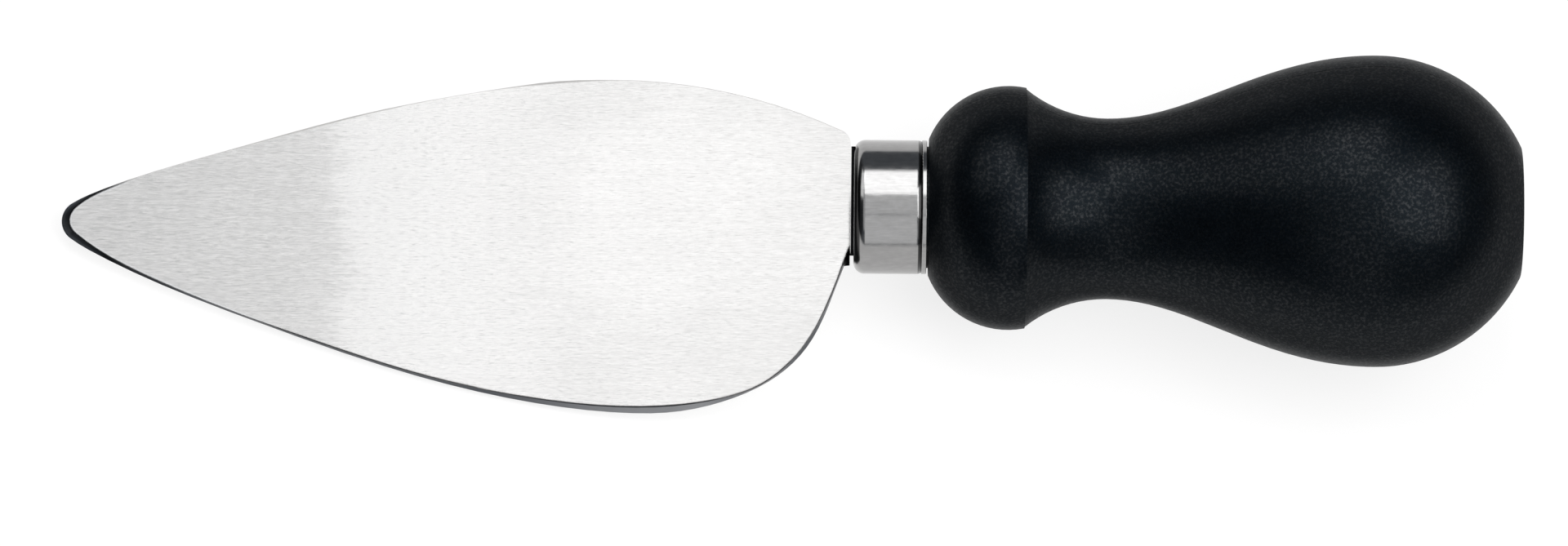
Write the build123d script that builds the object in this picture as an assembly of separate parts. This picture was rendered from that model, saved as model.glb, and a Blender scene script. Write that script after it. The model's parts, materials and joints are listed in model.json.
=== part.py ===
from build123d import *
import math
import os

# A parmesan knife: leaf-shaped blade, steel ferrule and moulded handle.
# Sizes are in millimetres and angles in degrees. The knife is drawn with the handle's axis on X,
# the tip at -X, the butt at +X, the blade in the XY plane and the spine at +Y. Stations are measured
# from the gap between the neck and the ferrule. The last step lays the knife down as it comes to rest.

# Blade outline
BLADE_LENGTH = 120.6          # gap to tip
NOSE_RADIUS = 3.2
NOSE_DROP = 3.3               # centre of the nose below the handle's axis
NOSE_SPINE_ANGLE = 32.0       # slope of the spine where it leaves the nose
NOSE_EDGE_ANGLE = 36.0        # slope of the cutting edge where it leaves the nose
# The spine on its way up to its crest, as stations and heights
SPINE_RISE = ((-115.0, 1.4), (-94.2, 8.1), (-72.0, 14.15), (-50.0, 18.15))
CREST_STATION = 36.0          # where the spine is highest
CREST_HEIGHT = 19.05
SHOULDER_STATION = 1.7        # where the spine turns down to the neck
SHOULDER_HEIGHT = 11.65
# The cutting edge on its way down to its lowest point
BELLY_FALL = ((-115.0, -8.4), (-90.2, -18.6), (-60.2, -28.0))
BELLY_STATION = 33.6          # where the belly is deepest
BELLY_DEPTH = 31.85
HEEL_CORNER = (-17.8, -29.4)  # where the belly's grind meets the heel's
HEEL_CORNER_ANGLE = 20.0
HEEL_MID = (-6.3, -21.0)
HEEL_END = (-1.1, -9.1)       # where the heel meets the underside of the neck
HEEL_END_ANGLE = 68.0
NECK_TOP = 9.6
NECK_BOTTOM = 9.0
SHOULDER_GAP = 0.25           # from the gap's station to the neck

# Blade section
NECK_THICKNESS = 2.5
TIP_THICKNESS = 1.3
EDGE_LAND = 0.25              # what the grinding leaves of the thickness at the cutting edge
SPINE_EASE = 0.12             # the spine's corners are eased by this much
WALL_DROP = 0.3               # height of the steep wall at the edge of the flat face
WALL_SHARE = 0.2              # how much of the bevel's width the wall takes

# Width of the ground bevel. A pair is a share of the curve's length and the width there.
SPINE_FADE = ((0.03, 0.5), (0.08, 0.2), (0.3, SPINE_EASE), (0.65, SPINE_EASE))    # it runs out up the spine
SPINE_END_GRIND = 0.9         # where the spine meets the nose
NOSE_GRIND = 1.25
BELLY_START_GRIND = 1.2       # where the nose meets the belly
BELLY_GRIND = ((0.04, 0.8), (0.12, 0.42), (0.2, 0.28), (0.4, 0.28), (0.57, 0.4),
               (0.68, 0.72), (0.82, 1.02), (0.95, 0.92))
CORNER_GRIND = 0.45
HEEL_GRIND = ((0.35, 0.38), (0.7, 0.35))
HEEL_END_GRIND = 0.25
NECK_FACE_END = 5.8           # where the flat face's lower edge reaches the neck, below the axis

# Tang
TANG_THICKNESS = 2.3
ROOT_TOP = 9.2                # the root is as deep as the neck and closes the gap behind it
ROOT_BOTTOM = 7.5
ROOT_PAST_WALL = 0.1          # the root ends this far behind the ferrule's front wall
TANG_START_WIDTH = 11.0
TANG_END_WIDTH = 8.0
TANG_END_STATION = 62.0
TANG_NOTCH_STATION = 44.0
TANG_NOTCH_RADIUS = 1.6

# Ferrule
FERRULE_RADIUS = 10.23
FERRULE_START = 0.3           # station of its front face
FERRULE_END = 11.4            # station of its rim
FERRULE_WALL = 0.9
FERRULE_FRONT_ROUND = 1.7
RIM_WIDTH = 0.75              # the rim that stands behind the turned line
RIM_EASE = 0.12
LINE_DEPTH = 0.2
LINE_FALL = 0.8               # length over which the wall falls away to the line
SLOT_CLEARANCE = 0.15         # ferrule's slot around the tang's root
SPIGOT_CLEARANCE = 0.05       # ferrule's bore around the spigot

# Handle
SEAM_GAP = 0.3                # the dark gap between the ferrule's rim and the handle
SPIGOT_END_GAP = 0.3          # spigot's end to the ferrule's front wall
NOSE_FACE_RADIUS = 10.5       # the handle's front face, against the ferrule
BALL_RADIUS = 18.65
BALL_CURVE = 13.2             # the ball's own radius in profile
BALL_STATION = 23.9           # where the ball is widest
CREASE_STATION = 26.5         # the sharp crease behind the ball
CREASE_STEP = 0.2             # the ball's back stands this much above the waist's hollow
WAIST_STATION = 38.9
WAIST_RADIUS = 13.8
WAIST_PULL = 13.3             # how long the profile stays level behind the waist
BULGE_STATION = 80.0
BULGE_RADIUS = 23.8
BULGE_PULL = 17.6             # how long the profile stays level ahead of the bulge
BUTT_STATION = 102.1
BUTT_RADIUS = 9.95
BUTT_ROUND = 0.9

# Rest
DENSITIES = {"blade": 7.85, "ferrule": 7.85, "handle": 1.1}    # grams in a cubic centimetre
STEEPEST = 30.0               # the search for the rest looks this far each way
LOOKS = 24                    # places tried on each edge for the lowest point
STEPS = 20                    # rounds of each search


def heading(angle):
    """A unit vector in the drawing plane, counted from +X towards the spine."""
    return Vector(math.cos(math.radians(angle)), math.sin(math.radians(angle)))


def inset_line(curve, grind, side):
    """A curve moved sideways into the blade by a width that changes along it.

    side is 1 where the blade lies to the left of the curve and -1 where it lies to the right.
    """
    points = []
    for share, width in grind:
        along = curve % share
        points.append(curve @ share + Vector(-along.Y, along.X) * side * width)
    return points


def cutting_outline():
    """The blade's largest outline: nose, spine, belly, heel and the lines of the neck."""
    crest = (-CREST_STATION, CREST_HEIGHT)
    shoulder = (-SHOULDER_STATION, SHOULDER_HEIGHT)
    neck_top = (-SHOULDER_GAP, NECK_TOP)
    neck_bottom = (-SHOULDER_GAP, -NECK_BOTTOM)
    nose_centre = (NOSE_RADIUS - BLADE_LENGTH, -NOSE_DROP)
    turn = 180 - NOSE_SPINE_ANGLE - NOSE_EDGE_ANGLE
    nose = CenterArc(nose_centre, NOSE_RADIUS, 90 + NOSE_SPINE_ANGLE, turn)
    spine_ends = (heading(NOSE_SPINE_ANGLE), heading(0))
    spine = Spline(nose @ 0, *SPINE_RISE, crest, tangents=spine_ends)
    brow = TangentArc(crest, shoulder, tangent=(1, 0))
    round_over = TangentArc(neck_top, shoulder, tangent=(0, 1))
    belly_low = (-BELLY_STATION, -BELLY_DEPTH)
    belly_ends = (heading(-NOSE_EDGE_ANGLE), heading(HEEL_CORNER_ANGLE))
    belly = Spline(nose @ 1, *BELLY_FALL, belly_low, HEEL_CORNER, tangents=belly_ends)
    heel_ends = (heading(HEEL_CORNER_ANGLE), heading(HEEL_END_ANGLE))
    heel = Spline(HEEL_CORNER, HEEL_MID, HEEL_END, tangents=heel_ends)
    underside = Line(HEEL_END, neck_bottom)
    neck = Line(neck_bottom, neck_top)
    return nose, spine, brow, round_over, belly, heel, underside, neck


def inner_outline(curves, share):
    """An outline inside the ground bevel: the flat face's own where share is 1, further out below 1."""
    nose, spine, brow, _, belly, heel, _, neck = curves

    def inset(curve, side, *grind):
        return inset_line(curve, [(place, width * share) for place, width in grind], side)

    neck_top = neck @ 1
    neck_bottom = neck @ 0 + Vector(0, NECK_BOTTOM - NECK_FACE_END) * share
    brow_points = inset(brow, -1, (0, SPINE_EASE), (0.5, SPINE_EASE), (1, SPINE_EASE))
    heel_points = inset(heel, 1, (0, CORNER_GRIND), *HEEL_GRIND, (1, HEEL_END_GRIND))
    return [
        Spline(*inset(spine, -1, (0, SPINE_END_GRIND), *SPINE_FADE, (1, SPINE_EASE))),
        Spline(*brow_points),
        TangentArc(neck_top, brow_points[-1], tangent=(0, 1)),
        Spline(*inset(nose, 1, (0, SPINE_END_GRIND), (0.5, NOSE_GRIND), (1, BELLY_START_GRIND))),
        Spline(*inset(belly, 1, (0, BELLY_START_GRIND), *BELLY_GRIND, (1, CORNER_GRIND))),
        Spline(*heel_points),
        Line(heel_points[-1], neck_bottom),
        Line(neck_bottom, neck_top),
    ]


def leaf():
    """The ground plate: flat faces that close in towards the tip, a steep wall, and a bevel to the edge."""
    curves = cutting_outline()
    edge = make_face(curves)
    foot = make_face(inner_outline(curves, 1 - WALL_SHARE))
    face = make_face(inner_outline(curves, 1))
    taper = math.atan((NECK_THICKNESS - TIP_THICKNESS) / 2 / BLADE_LENGTH)
    dip = math.sin(taper)
    rise = math.cos(taper)
    upper = Plane((0, 0, NECK_THICKNESS / 2), x_dir=(rise, 0, dip), z_dir=(-dip, 0, rise))
    lower = Plane((0, 0, -NECK_THICKNESS / 2), x_dir=(rise, 0, -dip), z_dir=(dip, 0, rise))
    land = Pos(0, 0, EDGE_LAND / 2)
    wall = Pos(0, 0, WALL_DROP)
    sections = [lower * face, lower * (wall * foot), land.inverse() * edge,
                land * edge, upper * (wall.inverse() * foot), upper * face]
    return loft(sections, ruled=True)


def tang():
    """The hidden tongue: a deep root in the ferrule's slot, then a taper with a pair of notches.

    The notches lock it in the moulding.
    """
    start = -SHOULDER_GAP
    stop = FERRULE_START + FERRULE_WALL + ROOT_PAST_WALL
    wide = TANG_START_WIDTH / 2
    narrow = TANG_END_WIDTH / 2
    outline = Polyline((start, -ROOT_BOTTOM), (stop, -ROOT_BOTTOM), (stop, -wide),
                       (TANG_END_STATION, -narrow), (TANG_END_STATION, narrow), (stop, wide),
                       (stop, ROOT_TOP), (start, ROOT_TOP), close=True)
    plan = make_face(outline)
    share = (TANG_NOTCH_STATION - stop) / (TANG_END_STATION - stop)
    half = wide + (narrow - wide) * share
    for side in (-1, 1):
        plan -= Pos(TANG_NOTCH_STATION, side * half) * Circle(TANG_NOTCH_RADIUS)
    return extrude(plan, TANG_THICKNESS / 2, both=True)


def make_blade():
    """Blade, neck and tang in one piece."""
    return leaf() + tang()


def ferrule_profile():
    """Half of the cup's section: front wall, rounded edge, side, turned line, rim and bore."""
    bore = FERRULE_RADIUS - FERRULE_WALL
    floor = FERRULE_START + FERRULE_WALL
    round_start = FERRULE_RADIUS - FERRULE_FRONT_ROUND
    line_station = FERRULE_END - RIM_WIDTH
    line = (line_station, FERRULE_RADIUS - LINE_DEPTH)
    side_end = (line_station - LINE_FALL, FERRULE_RADIUS)
    front = Line((FERRULE_START, 0), (FERRULE_START, round_start))
    bend = CenterArc((FERRULE_START + FERRULE_FRONT_ROUND, round_start), FERRULE_FRONT_ROUND, 90, 90)
    side = Line(bend @ 0, side_end)
    fall = TangentArc(side_end, line, tangent=(1, 0))
    rim = FilletPolyline(line, (line_station, FERRULE_RADIUS), (FERRULE_END, FERRULE_RADIUS),
                         (FERRULE_END, bore), radius=(RIM_EASE, RIM_EASE))
    inside = Polyline((FERRULE_END, bore), (floor, bore), (floor, 0), (FERRULE_START, 0))
    return make_face([front, bend, side, fall, rim, inside])


def make_ferrule():
    """A drawn cup with a rounded front edge, a slot for the tang's root and a turned line near its rim."""
    cup = revolve(ferrule_profile(), Axis.X)
    slot = Box(2 * (FERRULE_START + FERRULE_WALL), ROOT_TOP + ROOT_BOTTOM + 2 * SLOT_CLEARANCE,
               TANG_THICKNESS + 2 * SLOT_CLEARANCE)
    return cup - Pos(0, (ROOT_TOP - ROOT_BOTTOM) / 2) * slot


def handle_profile():
    """Half of the handle's outline, from the end of the spigot to the butt."""
    start = FERRULE_END + SEAM_GAP
    spigot = FERRULE_RADIUS - FERRULE_WALL - SPIGOT_CLEARANCE
    tip = FERRULE_START + FERRULE_WALL + SPIGOT_END_GAP
    centre = BALL_RADIUS - BALL_CURVE
    crease_rise = math.sqrt(BALL_CURVE**2 - (CREASE_STATION - BALL_STATION)**2)
    nose_reach = math.sqrt(BALL_CURVE**2 - (NOSE_FACE_RADIUS - centre)**2)
    ball_start = (BALL_STATION - nose_reach, NOSE_FACE_RADIUS)
    ball_top = (BALL_STATION, BALL_RADIUS)
    crease = (CREASE_STATION, centre + crease_rise)
    crease_foot = (CREASE_STATION, centre + crease_rise - CREASE_STEP)
    waist = (WAIST_STATION, WAIST_RADIUS)
    bulge = (BULGE_STATION, BULGE_RADIUS)
    butt = (BUTT_STATION, BUTT_RADIUS)
    spigot_end = Polyline((tip, 0), (tip, spigot), (start, spigot), (start, NOSE_FACE_RADIUS), ball_start)
    ball = ThreePointArc(ball_start, ball_top, crease)
    step = Line(crease, crease_foot)
    hollow = TangentArc(waist, crease_foot, tangent=(-1, 0))
    swell = Bezier(waist, (WAIST_STATION + WAIST_PULL, WAIST_RADIUS),
                   (BULGE_STATION - BULGE_PULL, BULGE_RADIUS), bulge)
    dome = TangentArc(bulge, butt, tangent=(1, 0))
    flat = Polyline(butt, (BUTT_STATION, 0), (tip, 0))
    return make_face([spigot_end, ball, step, hollow, swell, dome, flat])


def make_handle():
    """The moulded handle, closed around the tang."""
    body = revolve(handle_profile(), Axis.X)
    rim = body.faces().sort_by(Axis.X)[-1].edges()
    body = fillet(rim, BUTT_ROUND)
    return body - tang()


def height(point, roll, pitch):
    """How high a point of the drawn knife lies once the knife is rolled and pitched."""
    lifted = point.Y * math.sin(roll) + point.Z * math.cos(roll)
    return lifted * math.cos(pitch) - point.X * math.sin(pitch)


def lowest(points, roll, pitch):
    """The height of the lowest of some points."""
    return min(height(point, roll, pitch) for point in points)


def edge_points(edges):
    """Points spread along some edges."""
    return [edge @ (look / LOOKS) for edge in edges for look in range(LOOKS + 1)]


def rest_pitch(blade_points, handle_points, roll):
    """The pitch at which the blade and the handle touch the floor together."""
    steep = math.radians(-STEEPEST)
    level = 0.0
    for _ in range(STEPS):
        pitch = (steep + level) / 2
        if lowest(blade_points, roll, pitch) > lowest(handle_points, 0, pitch):
            level = pitch
        else:
            steep = pitch
    return (steep + level) / 2


def rest_angles(pieces):
    """Roll and pitch at which the knife's weight lies as low as its two contacts allow."""
    blade_points = edge_points(pieces["blade"].edges())
    profile = edge_points(handle_profile().edges())
    handle_points = [Vector(point.X, 0, -point.Y) for point in profile]
    weights = {name: piece.volume * DENSITIES[name] for name, piece in pieces.items()}
    moments = [piece.center(CenterOf.MASS) * weights[name] for name, piece in pieces.items()]
    centre = sum(moments, Vector()) * (1 / sum(weights.values()))

    def weight_height(roll):
        pitch = rest_pitch(blade_points, handle_points, roll)
        return height(centre, roll, pitch) - lowest(handle_points, 0, pitch)

    left = math.radians(-STEEPEST)
    right = math.radians(STEEPEST)
    for _ in range(STEPS):
        third = (right - left) / 3
        if weight_height(left + third) < weight_height(right - third):
            right -= third
        else:
            left += third
    roll = (left + right) / 2
    return roll, rest_pitch(blade_points, handle_points, roll)


def lay_down(pieces):
    """Each piece as it lies on the floor, over an origin at the middle of the knife's base."""
    roll, pitch = rest_angles(pieces)
    turn = Rot(0, math.degrees(pitch), 0) * Rot(math.degrees(roll), 0, 0)
    turned = {name: turn * piece for name, piece in pieces.items()}
    boxes = [piece.bounding_box() for piece in turned.values()]
    middle_x = (min(box.min.X for box in boxes) + max(box.max.X for box in boxes)) / 2
    middle_y = (min(box.min.Y for box in boxes) + max(box.max.Y for box in boxes)) / 2
    floor = min(box.min.Z for box in boxes)
    return {name: Pos(-middle_x, -middle_y, -floor) * piece for name, piece in turned.items()}


def main():
    os.makedirs("parts", exist_ok=True)
    drawn = {"blade": make_blade(), "ferrule": make_ferrule(), "handle": make_handle()}
    for name, piece in lay_down(drawn).items():
        export_step(piece, f"parts/{name}.step")


if __name__ == "__main__":
    main()
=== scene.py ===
import json
import math

import bmesh
import bpy
from bpy.props import FloatProperty, FloatVectorProperty, PointerProperty
from mathutils import Matrix, Vector

bl_info = {
    "name": "Parmesan Knife",
    "version": (1, 0, 0),
    "blender": (4, 5, 0),
    "location": "3D View > Sidebar > Knife",
    "description": "Finishes the blade, ferrule and handle of a leaf-shaped cheese knife and sets its stage",
    "category": "Object",
}

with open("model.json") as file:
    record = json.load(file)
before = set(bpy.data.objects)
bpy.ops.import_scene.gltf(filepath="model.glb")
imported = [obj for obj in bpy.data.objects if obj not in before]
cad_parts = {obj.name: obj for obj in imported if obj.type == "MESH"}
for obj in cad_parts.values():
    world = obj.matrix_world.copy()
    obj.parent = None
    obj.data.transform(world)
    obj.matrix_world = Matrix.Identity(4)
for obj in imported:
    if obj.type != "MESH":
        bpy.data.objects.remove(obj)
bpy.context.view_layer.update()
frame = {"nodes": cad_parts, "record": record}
MM = 0.001

# The photograph: its size in pixels, and how the knife lies in it
PHOTO_WIDTH = 1920
PHOTO_SCALE = 8020.0                       # pixels in a metre of knife
PHOTO_MIDDLE = (-0.01026, -0.01023)        # knife point at the middle of the picture
PHOTO_ROLL = math.radians(0.51)
SENSOR_WIDTH = 36.0

# Places on the knife, in millimetres. Stations run along the handle's axis from the gap between the
# blade and the ferrule: the tip is at -X and the butt at +X. Heights run towards the spine.
BUTT_STATION = 102.1
FERRULE_MIDDLE = 6.0
NECK_STATION = -0.10                       # behind this the blade's steel lies in the gap
BLADE_LENGTH = 120.6
NECK_HALF = 1.25                           # half of the blade's thickness at the neck
TIP_HALF = 0.65
THINNING = (NECK_HALF - TIP_HALF) / BLADE_LENGTH

# Zones of the finish, in millimetres. Each runs from where a change begins to where it is full.
# The brushed face, by station where no comment says otherwise
TIP_TO_MIDDLE = (-81.0, -73.0)             # painted reflection: the grey tip turns into the bright middle
MIDDLE_TO_REAR = (-72.0, -45.0)            # the middle darkens a little
REAR_TO_HEEL = (-30.0, 0.0)                # and the rear once more
DARKER_SIDES = (8.0, 20.0)                   # the face is darker by this distance from its middle line
DARKER_SIDES_START = (-50.0, -35.0)
FACE_MIDDLE_HEIGHT = -2.0
EDGE_HIGHLIGHT = (-84.0, -94.0)                      # a painted highlight: a thin bright line along the tip's edge

# The bevel, by station where no comment says otherwise
SPINE_HEIGHT = (-1.0, 3.0)                 # above this a border is the spine's, which is not ground
SPINE_START = (-114.0, -108.0)
# The next three are where the dark border is painted wide, onto the flat face past the bevel
FRONT_BELLY = ((-94.0, -84.0), (-52.0, -60.0))
HEEL_CORNER = ((-22.0, -16.0), (-7.5, -10.0))
HEEL_TOP = (-6.0, -3.5)
# And these are where the grind's colour changes, partly a darker grind and partly painted dark reflection
BRIGHT_BELLY = ((-58.0, -28.0), (-14.0, -24.0))
# painted shade: behind the nose the border turns towards the wall's near black
BEHIND_NOSE = ((-116.5, -113.0), (-100.0, -105.0))
NOSE = (-113.0, -116.0)
NOSE_LAND_DEPTH = (0.36, 0.5)              # below the face
WALL_DEPTH = (0.33, 0.29)                  # the bevel's steep wall lies above this depth
# Painted shade under the neck and in the gap between the blade and the ferrule
NECK_UNDERSIDE = (-2.2, -1.2)
NECK_UNDERSIDE_HEIGHT = (-5.6, -6.4)
GAP = (NECK_STATION - 0.06, NECK_STATION)

# The ferrule's turned line near its back edge, painted dark as shade, and a painted dark reflection in an arc
# behind its front edge
TURNED_LINE = ((10.0, 10.2), (10.69, 10.66))
FRONT_ARC = ((0.35, 0.5), (1.35, 1.05))
FRONT_ARC_HEIGHT = ((-9.0, -7.8), (6.8, 3.5))

# How squarely a surface faces out of the blade, where 1 is squarely
FLAT_FACING = (0.97, 0.995)
BORDER_FACING = (0.89, 0.93)               # of the rounded surface, where the grinding ends
WIDE_BORDER = 0.064                        # moves that inwards where the dark border is painted wide
EDGE_HIGHLIGHT_FACING = (1.0, 0.992)

# How far the handle turns away from the eye, where 1 is edge-on
TURNED_AWAY = (0.25, 0.6)
RIM = (0.62, 0.9)

# Grains of the patterns: their lengths along X, Y and Z in millimetres
LONG_STREAK = (9.0, 0.5, 3.0)
DASH = (1.5, 0.17, 1.0)                    # the strongest single brushing marks
FACE_PATCH = (16.0, 24.0, 20.0)
SCRATCH = (3.0, 0.25, 0.25)
WEAR = (1.2, 0.7, 0.7)
MOTTLE = (2.6, 2.6, 2.6)

# Where the dashes and the handle's specks rise out of their noise
LIGHT_DASHES = (0.42, 0.28)
DARK_DASHES = (0.58, 0.72)
SPECKS = (0.42, 0.78)
MEAN_TONE = 0.465                          # the face's, between its darkest, 0, and its lightest, 1

WHITE = (1.0, 1.0, 1.0, 1.0)
PAINTED_SHADE = (0.004, 0.004, 0.0045, 1.0)        # painted shade: in the gap before the ferrule, under the neck and in the ferrule's dark lines
# The parting line's groove, painted darker as shade
PARTING_SHADE = (0.0005, 0.0005, 0.0005, 1.0)
PARTING_DEPTH = 0.00005                    # in metres, as is the next
SCRATCH_DEPTH = 0.000003
PLASTIC_TINT = (0.3, 0.675, 1.0, 1.0)      # of the plastic's own faint gloss

# The stage. The cloth is darker where it hangs far out to the sides, in metres.
TENT_SIZE = 3.6                            # side of the dark cloth tent, in metres
CLOTH_TINT = (0.9, 0.98, 1.08, 1.0)
CLOTH_SIDES = (0.5, 1.4)
FLOOR_COLOUR = (0.24, 0.24, 0.24, 1.0)
FLOOR_GLOW = 0.8                           # brings the lit floor to white where it is seen


def knife_matrix():
    """The knife's own axes in the frame: X towards the butt, Y towards the spine, Z out of the face.

    Its origin is on the handle's axis, in the gap between the blade and the ferrule.
    """
    mounts = {mount["name"]: mount for mount in frame["record"]["mounts"]}
    along = Vector(mounts["butt_face"]["axis"]).normalized()
    butt = Vector(mounts["butt_face"]["pos_m"])
    face = Vector(mounts["blade_flat"]["axis"])
    face = (face - along * face.dot(along)).normalized()
    spine = face.cross(along)
    turn = Matrix((along, spine, face)).transposed().to_4x4()
    return Matrix.Translation(butt - along * BUTT_STATION * MM) @ turn


KNIFE = knife_matrix()


class Wire:
    """A node's output as a Python value. Sums on wires add their Math nodes."""

    def __init__(self, shader, socket):
        self.shader = shader
        self.socket = socket

    def out(self, name):
        """Another output of the same node."""
        return Wire(self.shader, self.socket.node.outputs[name])

    def maths(self, operation, *values):
        return self.shader.add("ShaderNodeMath", {"operation": operation}, dict(enumerate(values)))

    def __add__(self, other):
        return self.maths("ADD", self, other)

    def __radd__(self, other):
        return self.maths("ADD", other, self)

    def __sub__(self, other):
        return self.maths("SUBTRACT", self, other)

    def __rsub__(self, other):
        return self.maths("SUBTRACT", other, self)

    def __mul__(self, other):
        return self.maths("MULTIPLY", self, other)

    def __rmul__(self, other):
        return self.maths("MULTIPLY", other, self)

    def __abs__(self):
        return self.maths("ABSOLUTE", self)

    def most(self, other):
        return self.maths("MAXIMUM", self, other)

    def ramp(self, low, high):
        """0 below low, 1 above high and smooth between. Low may be above high."""
        sockets = {"Value": self, "From Min": low, "From Max": high}
        return self.shader.add("ShaderNodeMapRange", {"interpolation_type": "SMOOTHSTEP"}, sockets)

    def span(self, rise, fall):
        """1 between two zones and 0 beyond them. Each zone runs from its 0 to its 1."""
        return self.ramp(*rise) * self.ramp(*fall)

    def swing(self, strength):
        """Noise about a half as a swing about nothing."""
        return (self - 0.5) * strength


class Shader:
    """A node tree under construction."""

    def __init__(self, tree):
        self.tree = tree
        tree.nodes.clear()

    def add(self, kind, settings=None, sockets=None, output=0):
        """Adds a node: its settings come first, then the values or wires of its sockets."""
        node = self.tree.nodes.new(kind)
        for name, value in (settings or {}).items():
            setattr(node, name, value)
        for name, value in (sockets or {}).items():
            if isinstance(value, Wire):
                self.tree.links.new(value.socket, node.inputs[name])
            else:
                node.inputs[name].default_value = value
        return Wire(self, node.outputs[output]) if node.outputs else None

    def knife_place(self):
        """Where a point lies on the knife, in millimetres on the knife's own axes."""
        spot = self.add("ShaderNodeTexCoord", output="Object")
        sockets = {"Vector": spot, "Location": KNIFE.to_translation(), "Rotation": KNIFE.to_euler(),
                   "Scale": (MM, MM, MM)}
        return self.add("ShaderNodeMapping", {"vector_type": "TEXTURE"}, sockets)

    def split(self, vector):
        first = self.add("ShaderNodeSeparateXYZ", None, {"Vector": vector})
        return first, first.out("Y"), first.out("Z")

    def noise(self, vector, grain, detail=2.0, roughness=0.5):
        """Soft noise about a half, with grains of these lengths in millimetres."""
        scales = tuple(1 / length for length in grain)
        stretched = self.add("ShaderNodeVectorMath", {"operation": "MULTIPLY"}, {0: vector, 1: scales})
        sockets = {"Vector": stretched, "Scale": 1.0, "Detail": detail, "Roughness": roughness}
        return self.add("ShaderNodeTexNoise", None, sockets)

    def blend(self, factor, first, second):
        settings = {"data_type": "RGBA"}
        return self.add("ShaderNodeMix", settings, {"Factor": factor, 6: first, 7: second}, output=2)

    def toned(self, tone, colour, share):
        """A colour that goes from darker to lighter by a share of it, as the tone goes from 0 to 1."""
        return self.blend(tone.ramp(0.0, 1.0), scaled(colour, 1 - share), scaled(colour, 1 + share))

    def squareness(self, normal, axis):
        """How squarely a normal faces an axis of the frame, either way."""
        sockets = {0: normal, 1: axis}
        return abs(self.add("ShaderNodeVectorMath", {"operation": "DOT_PRODUCT"}, sockets, output="Value"))

    def facing(self, axis):
        """How squarely the surface faces an axis."""
        return self.squareness(self.add("ShaderNodeTexCoord", output="Normal"), axis)

    def rounded_facing(self, axis, radius):
        """The same, but as if all edges were rounded to a radius in metres, so it falls near an edge."""
        return self.squareness(self.add("ShaderNodeBevel", {"samples": 8}, {"Radius": radius}), axis)

    def bump(self, height, distance, normal=None):
        sockets = {"Height": height, "Distance": distance}
        if normal:
            sockets["Normal"] = normal
        return self.add("ShaderNodeBump", None, sockets)

    def finish(self, surface, target="ShaderNodeOutputMaterial"):
        self.add(target, None, {"Surface": surface})


def new_material(name):
    material = bpy.data.materials.new(name)
    material.use_nodes = True
    return material, Shader(material.node_tree)


def opaque(colour):
    return (*colour, 1.0)


def scaled(colour, share):
    return (*(channel * share for channel in colour), 1.0)


def dress(node, material):
    """Puts a material on every slot of one of the frame's pieces."""
    for slot in frame["nodes"][node].material_slots:
        slot.material = material


class KnifeSteel(bpy.types.PropertyGroup):
    """The steel of the blade and the ferrule."""

    blade_colour: FloatVectorProperty(
        name="Blade colour", description="Colour of the brushed face",
        subtype="COLOR", size=3, min=0.0, max=1.0, default=(0.863, 0.85, 0.834))
    # The grind colours are partly a darker grind and partly painted dark reflection; the wall's near black is
    # painted shade
    grind_colour: FloatVectorProperty(
        name="Grind colour", description="Colour of the ground bevel along the belly",
        subtype="COLOR", size=3, min=0.0, max=1.0, default=(0.26, 0.265, 0.275))
    tip_grind_colour: FloatVectorProperty(
        name="Tip grind colour", description="Colour of the ground bevel at the tip and the heel",
        subtype="COLOR", size=3, min=0.0, max=1.0, default=(0.08, 0.085, 0.094))
    wall_colour: FloatVectorProperty(
        name="Wall colour", description="Colour of the steep wall where the bevel starts",
        subtype="COLOR", size=3, min=0.0, max=1.0, default=(0.012, 0.013, 0.015))
    ferrule_colour: FloatVectorProperty(
        name="Ferrule colour", description="Colour of the polished ferrule",
        subtype="COLOR", size=3, min=0.0, max=1.0, default=(0.305, 0.302, 0.3))
    # This also sets how far onto the flat face the dark border and the edge highlight are painted
    edge_reach: FloatProperty(
        name="Edge reach", description="How far in from the flat face's border the grinding shows",
        unit="LENGTH", min=0.00001, default=0.0006)
    streak_length: FloatProperty(
        name="Streak length", description="Length of one brushing mark",
        unit="LENGTH", min=0.0001, default=0.0017)
    streak_width: FloatProperty(
        name="Streak width", description="Width of one brushing mark",
        unit="LENGTH", min=0.00001, default=0.00026)
    streak_depth: FloatProperty(
        name="Streak depth", description="How deep the brushing marks stand in the face",
        unit="LENGTH", min=0.0, default=0.00002)


class KnifePlastic(bpy.types.PropertyGroup):
    """The moulded plastic of the handle."""

    colour: FloatVectorProperty(
        name="Colour", description="Colour of the handle",
        subtype="COLOR", size=3, min=0.0, max=1.0, default=(0.0011, 0.0016, 0.0023))
    grain_size: FloatProperty(
        name="Grain size", description="Size of one grain of the mould's matt surface",
        unit="LENGTH", min=0.00001, default=0.00028)
    grain_depth: FloatProperty(
        name="Grain depth", description="How far the grains stand out",
        unit="LENGTH", min=0.0, default=0.00005)
    speck_size: FloatProperty(
        name="Speck size", description="Size of the glossy specks between the grains",
        unit="LENGTH", min=0.00001, default=0.00045)
    parting_width: FloatProperty(
        name="Parting line width", description="Width of the line where the mould's halves met",
        unit="LENGTH", min=0.0, default=0.00026)
    parting_roll: FloatProperty(
        name="Parting line roll", description="Turn of the mould's parting plane from the blade's plane",
        subtype="ANGLE", default=math.radians(23.0))


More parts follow.
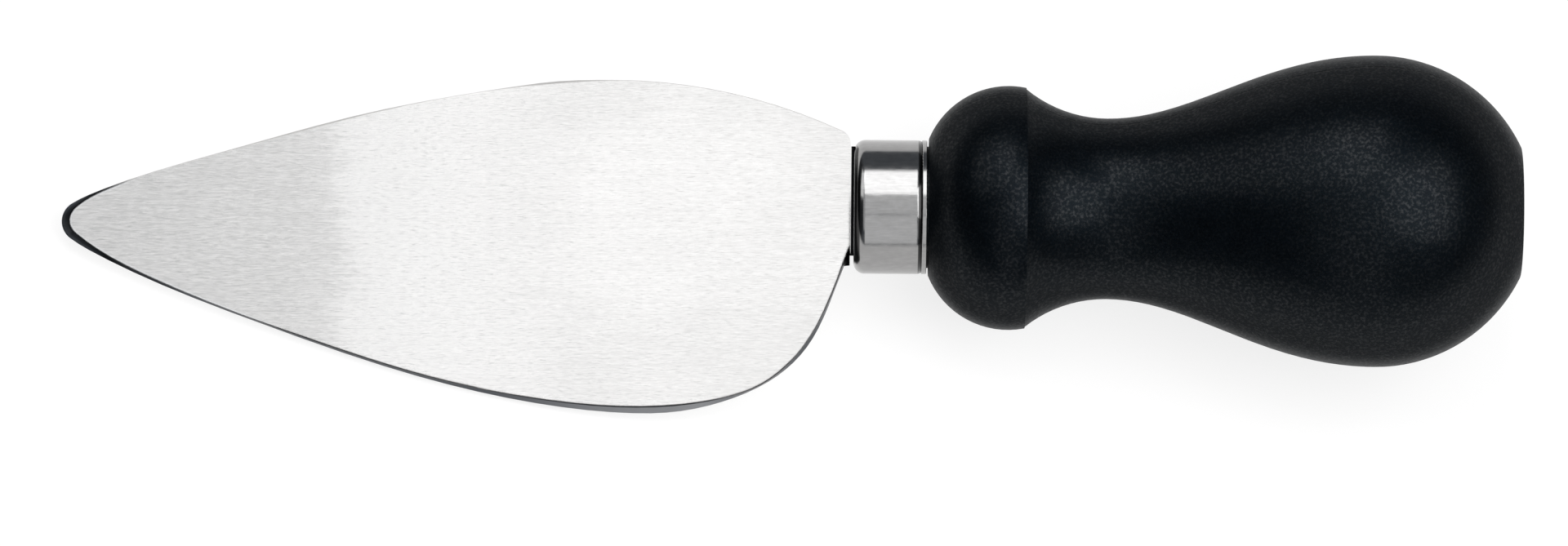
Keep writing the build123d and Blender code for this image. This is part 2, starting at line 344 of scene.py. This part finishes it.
class KnifeStage(bpy.types.PropertyGroup):
    """The floor, the lights and the camera."""

    camera_distance: FloatProperty(
        name="Camera distance", description="From the camera to the blade's plane",
        unit="LENGTH", min=0.1, default=1.84)
    floor_size: FloatProperty(
        name="Floor size", description="Side of the square floor",
        unit="LENGTH", min=1.0, default=14.0)
    lamp_distance: FloatProperty(
        name="Lamp distance", description="From the knife to each soft light",
        unit="LENGTH", min=0.2, default=0.95)
    key_level: FloatProperty(
        name="Key level", description="Brightness of the large light on the spine's side, where 1 is white",
        min=0.0, default=3.1)
    butt_level: FloatProperty(
        name="Butt level", description="Brightness of the light on the butt's side, where 1 is white",
        min=0.0, default=3.2)
    blade_level: FloatProperty(
        name="Blade level", description="What takes the place of those two levels where they light the blade",
        min=0.0, default=0.8)
    fill_level: FloatProperty(
        name="Fill level", description="Brightness of the lights over the face, where 1 is white",
        min=0.0, default=0.97)
    cloth_level: FloatProperty(
        name="Cloth level", description="Brightness of the dark cloth that the steel mirrors",
        min=0.0, max=1.0, default=0.14)
    room_level: FloatProperty(
        name="Room level", description="How much the white room itself lights the knife",
        min=0.0, max=1.0, default=0.1)


def brushed_face(shader, steel, place, streaks):
    """The flat face's colour: streaks, dashes and patches, and a painted reflection that makes it greyer at
    the tip and towards the heel.
    """
    x, y, _ = shader.split(place)
    long_streaks = shader.noise(place, LONG_STREAK)
    patches = shader.noise(place, FACE_PATCH, detail=1.0)
    wander = x + patches.swing(10.0) + long_streaks.swing(8.0)
    # Painted reflection of the lamps: grey at the tip, bright in the middle, a little darker towards the heel
    painted_reflection = (wander.ramp(*TIP_TO_MIDDLE) * 0.39 - wander.ramp(*MIDDLE_TO_REAR) * 0.27
            - wander.ramp(*REAR_TO_HEEL) * 0.15)
    sides = abs(y - FACE_MIDDLE_HEIGHT).ramp(*DARKER_SIDES) * x.ramp(*DARKER_SIDES_START) * 0.12
    dashes = shader.noise(place, DASH, detail=1.0)
    marks = dashes.ramp(*LIGHT_DASHES) * 0.3 - dashes.ramp(*DARK_DASHES)
    tone = (streaks.swing(0.85) + long_streaks.swing(0.35) + patches.swing(0.3) + marks * 0.34
            + painted_reflection - sides + MEAN_TONE)
    return shader.toned(tone, steel.blade_colour, 0.16)


def ground_bevel(shader, steel, place, spine_side):
    """The border's colour: a wall below the face painted near black as shade, a grind that is brightest
    on the belly and partly painted dark reflection, plain steel on the spine."""
    x, _, z = shader.split(place)
    depth = x * THINNING + NECK_HALF - abs(z)
    wall = opaque(steel.wall_colour)
    colour = shader.blend(x.span(*BRIGHT_BELLY), opaque(steel.tip_grind_colour), opaque(steel.grind_colour))
    nose_land = x.ramp(*NOSE) * depth.ramp(*NOSE_LAND_DEPTH)
    colour = shader.blend(nose_land, colour, scaled(steel.tip_grind_colour, 2.6))
    # Painted shade: behind the nose and on the steep wall the border turns near black
    colour = shader.blend(x.span(*BEHIND_NOSE) * 0.7, colour, wall)
    colour = shader.blend(depth.ramp(*WALL_DEPTH), colour, wall)
    return shader.blend(spine_side, colour, scaled(steel.blade_colour, 0.6))


class KNIFE_OT_finish_blade(bpy.types.Operator):
    """Gives the blade its brushed faces and darker ground bevel"""

    bl_idname = "knife.finish_blade"
    bl_label = "Finish Blade"

    def execute(self, context):
        steel = context.scene.knife_steel
        out_of_face = KNIFE.col[2].xyz
        material, shader = new_material("brushed_blade_steel")
        place = shader.knife_place()
        x, y, _ = shader.split(place)
        streak = (steel.streak_length / MM, steel.streak_width / MM, 1.0)
        streaks = shader.noise(place, streak, detail=3.0, roughness=0.6)
        spine_side = y.ramp(*SPINE_HEIGHT) * x.ramp(*SPINE_START)
        inside = shader.rounded_facing(out_of_face, steel.edge_reach)
        # A painted highlight: a thin white line just inside the face's border near the tip
        edge_highlight = inside.ramp(*EDGE_HIGHLIGHT_FACING) * x.ramp(*EDGE_HIGHLIGHT) * (1 - spine_side)
        face = shader.blend(edge_highlight * 0.9, brushed_face(shader, steel, place, streaks), WHITE)
        wide_border = x.span(*HEEL_CORNER) + x.ramp(*HEEL_TOP) + x.span(*FRONT_BELLY)
        inside_border = (inside - wide_border * WIDE_BORDER).ramp(*BORDER_FACING).most(spine_side)
        flat = shader.facing(out_of_face).ramp(*FLAT_FACING) * inside_border
        colour = shader.blend(flat, ground_bevel(shader, steel, place, spine_side), face)
        # Painted shade under the neck and in the gap before the ferrule, where little light reaches
        neck_shade = y.ramp(*NECK_UNDERSIDE_HEIGHT) * x.ramp(*NECK_UNDERSIDE) * (1 - flat)
        colour = shader.blend(x.ramp(*GAP).most(neck_shade), colour, PAINTED_SHADE)
        roughness = flat * -0.1 + 0.3 + streaks.swing(0.1)
        normal = shader.bump(streaks, steel.streak_depth)
        surface = shader.add("ShaderNodeBsdfPrincipled", None, {
            "Base Color": colour, "Metallic": 1.0, "Roughness": roughness, "Normal": normal})
        shader.finish(surface)
        dress("blade", material)
        return {"FINISHED"}


class KNIFE_OT_finish_ferrule(bpy.types.Operator):
    """Gives the ferrule its polished, finely scratched steel"""

    bl_idname = "knife.finish_ferrule"
    bl_label = "Finish Ferrule"

    def execute(self, context):
        steel = context.scene.knife_steel
        material, shader = new_material("polished_ferrule_steel")
        place = shader.knife_place()
        x, y, _ = shader.split(place)
        scratches = shader.noise(place, SCRATCH, detail=3.0, roughness=0.6)
        wear = shader.noise(place, WEAR, detail=3.0)
        tone = scratches.swing(0.5) + wear.swing(0.5) + 0.5
        colour = shader.toned(tone, steel.ferrule_colour, 0.2)
        # Painted shade in the turned line, and a painted dark reflection in an arc behind the front edge
        colour = shader.blend(x.span(*TURNED_LINE) * 0.9, colour, PAINTED_SHADE)
        front_arc_shade = x.span(*FRONT_ARC) * y.span(*FRONT_ARC_HEIGHT)
        colour = shader.blend(front_arc_shade * 0.85, colour, PAINTED_SHADE)
        roughness = wear * 0.1 + 0.11
        normal = shader.bump(scratches, SCRATCH_DEPTH)
        surface = shader.add("ShaderNodeBsdfPrincipled", None, {
            "Base Color": colour, "Metallic": 1.0, "Roughness": roughness, "Normal": normal})
        shader.finish(surface)
        dress("ferrule", material)
        return {"FINISHED"}


class KNIFE_OT_finish_handle(bpy.types.Operator):
    """Gives the handle its grained black plastic and the mould's parting line"""

    bl_idname = "knife.finish_handle"
    bl_label = "Finish Handle"

    def execute(self, context):
        plastic = context.scene.knife_plastic
        material, shader = new_material("moulded_handle_plastic")
        place = shader.knife_place()
        grain = shader.noise(place, (plastic.grain_size / MM,) * 3, roughness=0.6)
        mottle = shader.noise(place, MOTTLE, detail=3.0)
        colour = shader.toned(grain.swing(1.6) + mottle.swing(0.5) + 0.5, plastic.colour, 0.7)
        line = self.parting_line(shader, place, plastic)
        # Painted shade along the parting line's groove
        colour = shader.blend(line, colour, PARTING_SHADE)
        facing_away = shader.add("ShaderNodeLayerWeight", None, {"Blend": 0.5}, output="Facing")
        edge_on = facing_away.ramp(*TURNED_AWAY)
        rim = facing_away.ramp(*RIM)
        specks = shader.noise(place, (plastic.speck_size / MM,) * 3).ramp(*SPECKS)
        gloss = (specks * 0.35 + 0.085) * (1 - edge_on * 0.6) + rim * 0.16
        roughness = mottle * 0.12 + edge_on * 0.28 + 0.33
        normal = shader.bump(grain, plastic.grain_depth)
        normal = shader.bump(line, -PARTING_DEPTH, normal)
        surface = shader.add("ShaderNodeBsdfPrincipled", None, {
            "Base Color": colour, "Roughness": roughness, "Specular IOR Level": 0.05,
            "Specular Tint": PLASTIC_TINT, "Coat Weight": gloss, "Coat Roughness": 0.3,
            "Normal": normal})
        shader.finish(surface)
        dress("handle", material)
        return {"FINISHED"}

    def parting_line(self, shader, place, plastic):
        """1 on the line where the mould's parting plane meets the handle."""
        _, y, z = shader.split(place)
        from_plane = abs(y * math.sin(plastic.parting_roll) - z * math.cos(plastic.parting_roll))
        width = plastic.parting_width / MM
        return from_plane.ramp(width, width / 2)


def new_object(name, data):
    piece = bpy.data.objects.new(name, data)
    bpy.context.scene.collection.objects.link(piece)
    return piece


def new_stage_piece(name, shape):
    """A piece of the stage from a bmesh, which is freed."""
    mesh = bpy.data.meshes.new(name)
    shape.to_mesh(mesh)
    shape.free()
    piece = new_object(name, mesh)
    return piece


def looking_from(direction, distance, target, up):
    """A place at a distance from a target, with its -Z towards the target and its Y near up."""
    back = direction.normalized()
    side = up.cross(back).normalized()
    turn = Matrix((side, back.cross(side), back)).transposed().to_4x4()
    return Matrix.Translation(target + back * distance) @ turn


def seen(shader):
    """1 for rays that show the background: from the camera, off gloss and through glass."""
    path = shader.add("ShaderNodeLightPath", output="Is Camera Ray")
    return path.most(path.out("Is Glossy Ray")).most(path.out("Is Transmission Ray"))


def add_floor(stage):
    """A white floor that keeps a soft shadow."""
    sheet = bmesh.new()
    bmesh.ops.create_grid(sheet, x_segments=1, y_segments=1, size=stage.floor_size / 2)
    floor = new_stage_piece("floor", sheet)
    material, shader = new_material("white_floor")
    matt = shader.add("ShaderNodeBsdfDiffuse", None, {"Color": FLOOR_COLOUR})
    glow = shader.add("ShaderNodeEmission", None, {"Strength": seen(shader) * FLOOR_GLOW})
    shader.finish(shader.add("ShaderNodeAddShader", None, {0: matt, 1: glow}))
    floor.data.materials.append(material)


def add_room(stage):
    """A white room: plain white where it is seen, and a soft even light on the knife."""
    world = bpy.data.worlds.new("white_room")
    world.use_nodes = True
    shader = Shader(world.node_tree)
    strength = seen(shader) * (1 - stage.room_level) + stage.room_level
    light = shader.add("ShaderNodeBackground", None, {"Strength": strength})
    shader.finish(light, "ShaderNodeOutputWorld")
    bpy.context.scene.world = world


def add_cloth(stage):
    """A tent of dark cloth that only mirrors show, so the steel has something dark to reflect."""
    cube = bmesh.new()
    bmesh.ops.create_cube(cube, size=TENT_SIZE)
    tent = new_stage_piece("dark_cloth", cube)
    material, shader = new_material("dark_cloth")
    x, _, _ = shader.split(shader.add("ShaderNodeTexCoord", output="Object"))
    strength = (1 - abs(x).ramp(*CLOTH_SIDES) * 0.75) * stage.cloth_level
    shader.finish(shader.add("ShaderNodeEmission", None, {"Color": CLOTH_TINT, "Strength": strength}))
    tent.data.materials.append(material)
    tent.visible_camera = False
    tent.visible_diffuse = False
    tent.visible_transmission = False
    tent.visible_shadow = False


def add_softbox(name, stage, lean, tilt, level, blade_level=None):
    """A soft rectangular light over the ferrule, as the knife sees it.

    lean is its reach from the tip's side to the butt's side and tilt its reach from the edge's side to the
    spine's side, both as angles from straight above the blade's face. Level is its face's brightness. With
    a blade_level it leaves the blade out, and a twin lights the blade alone at that level, so that the
    bright steel doesn't glare.
    """
    if blade_level is not None:
        twin = add_softbox(name + "_on_blade", stage, lean, tilt, blade_level)
        link_to_blade(twin, "INCLUDE")
    along, spine, face = (KNIFE.col[axis].xyz for axis in range(3))
    low_lean, high_lean, low_tilt, high_tilt = (math.radians(angle) for angle in (*lean, *tilt))
    middle_lean = (low_lean + high_lean) / 2
    middle_tilt = (low_tilt + high_tilt) / 2
    upward = face * math.cos(middle_tilt) + spine * math.sin(middle_tilt)
    towards = upward * math.cos(middle_lean) + along * math.sin(middle_lean)
    target = KNIFE @ Vector((FERRULE_MIDDLE * MM, 0.0, 0.0))
    light = bpy.data.lights.new(name, "AREA")
    light.shape = "RECTANGLE"
    light.size = 2 * stage.lamp_distance * math.tan((high_lean - low_lean) / 2)
    light.size_y = 2 * stage.lamp_distance * math.tan((high_tilt - low_tilt) / 2)
    light.energy = level * math.pi * light.size * light.size_y
    lamp = new_object(name, light)
    lamp.matrix_world = looking_from(towards, stage.lamp_distance, target, spine)
    lamp.visible_camera = False
    if blade_level is not None:
        link_to_blade(lamp, "EXCLUDE")
    return lamp


def link_to_blade(lamp, state):
    """Lets a lamp light only the blade with INCLUDE, or everything but the blade with EXCLUDE."""
    receivers = bpy.data.collections.new(lamp.name + "_receivers")
    receivers.objects.link(frame["nodes"]["blade"])
    receivers.collection_objects[0].light_linking.link_state = state
    lamp.light_linking.receiver_collection = receivers


def add_camera(stage):
    """A long lens square to the blade, turned as the knife lies in the picture."""
    spine, face = KNIFE.col[1].xyz, KNIFE.col[2].xyz
    target = KNIFE @ Vector((*PHOTO_MIDDLE, 0.0))
    camera = bpy.data.cameras.new("camera")
    camera.sensor_width = SENSOR_WIDTH
    picture_width = PHOTO_WIDTH / PHOTO_SCALE
    camera.lens = SENSOR_WIDTH * stage.camera_distance / picture_width
    camera.clip_end = 100.0
    lens = new_object("camera", camera)
    place = looking_from(face, stage.camera_distance, target, spine)
    lens.matrix_world = place @ Matrix.Rotation(PHOTO_ROLL, 4, "Z")
    bpy.context.scene.camera = lens


class KNIFE_OT_set_stage(bpy.types.Operator):
    """Adds the floor, the white room, the lights and the camera"""

    bl_idname = "knife.set_stage"
    bl_label = "Set Stage"

    def execute(self, context):
        stage = context.scene.knife_stage
        key, butt, fill, blade = stage.key_level, stage.butt_level, stage.fill_level, stage.blade_level
        add_floor(stage)
        add_room(stage)
        add_cloth(stage)
        add_softbox("key_softbox", stage, (-12, 9), (21.5, 65), key, blade_level=blade)
        add_softbox("key_wing", stage, (-42, -12), (21.5, 65), key * 0.5, blade_level=blade * 0.25)
        add_softbox("butt_softbox", stage, (10, 56), (-16, 36), butt, blade_level=blade)
        add_softbox("overhead_panel", stage, (-7.5, 8), (-13, 21), fill, blade_level=fill * 1.09)
        add_softbox("tip_panel", stage, (-20, -7.5), (-40, 21), fill * 0.55)
        add_softbox("front_panel", stage, (-7.5, 8), (-67, -14.5), fill * 1.08)
        add_softbox("front_wing", stage, (8, 45), (-60, -16), fill * 0.3)
        add_camera(stage)
        context.scene.view_settings.view_transform = "Standard"
        return {"FINISHED"}


class KNIFE_PT_panel(bpy.types.Panel):
    """The knife's pieces and sizes"""

    bl_idname = "KNIFE_PT_panel"
    bl_label = "Parmesan Knife"
    bl_space_type = "VIEW_3D"
    bl_region_type = "UI"
    bl_category = "Knife"

    def draw(self, context):
        scene = context.scene
        for settings in (scene.knife_steel, scene.knife_plastic, scene.knife_stage):
            box = self.layout.box()
            for name in settings.__annotations__:
                box.prop(settings, name)
        for operator in OPERATORS:
            self.layout.operator(operator.bl_idname)


OPERATORS = (KNIFE_OT_finish_blade, KNIFE_OT_finish_ferrule, KNIFE_OT_finish_handle, KNIFE_OT_set_stage)
CLASSES = (KnifeSteel, KnifePlastic, KnifeStage, *OPERATORS, KNIFE_PT_panel)


def register():
    for kind in CLASSES:
        bpy.utils.register_class(kind)
    bpy.types.Scene.knife_steel = PointerProperty(type=KnifeSteel)
    bpy.types.Scene.knife_plastic = PointerProperty(type=KnifePlastic)
    bpy.types.Scene.knife_stage = PointerProperty(type=KnifeStage)


def unregister():
    del bpy.types.Scene.knife_stage
    del bpy.types.Scene.knife_plastic
    del bpy.types.Scene.knife_steel
    for kind in reversed(CLASSES):
        bpy.utils.unregister_class(kind)


def main():
    register()
    bpy.ops.knife.finish_blade()
    bpy.ops.knife.finish_ferrule()
    bpy.ops.knife.finish_handle()
    bpy.ops.knife.set_stage()


if __name__ == "__main__":
    main()
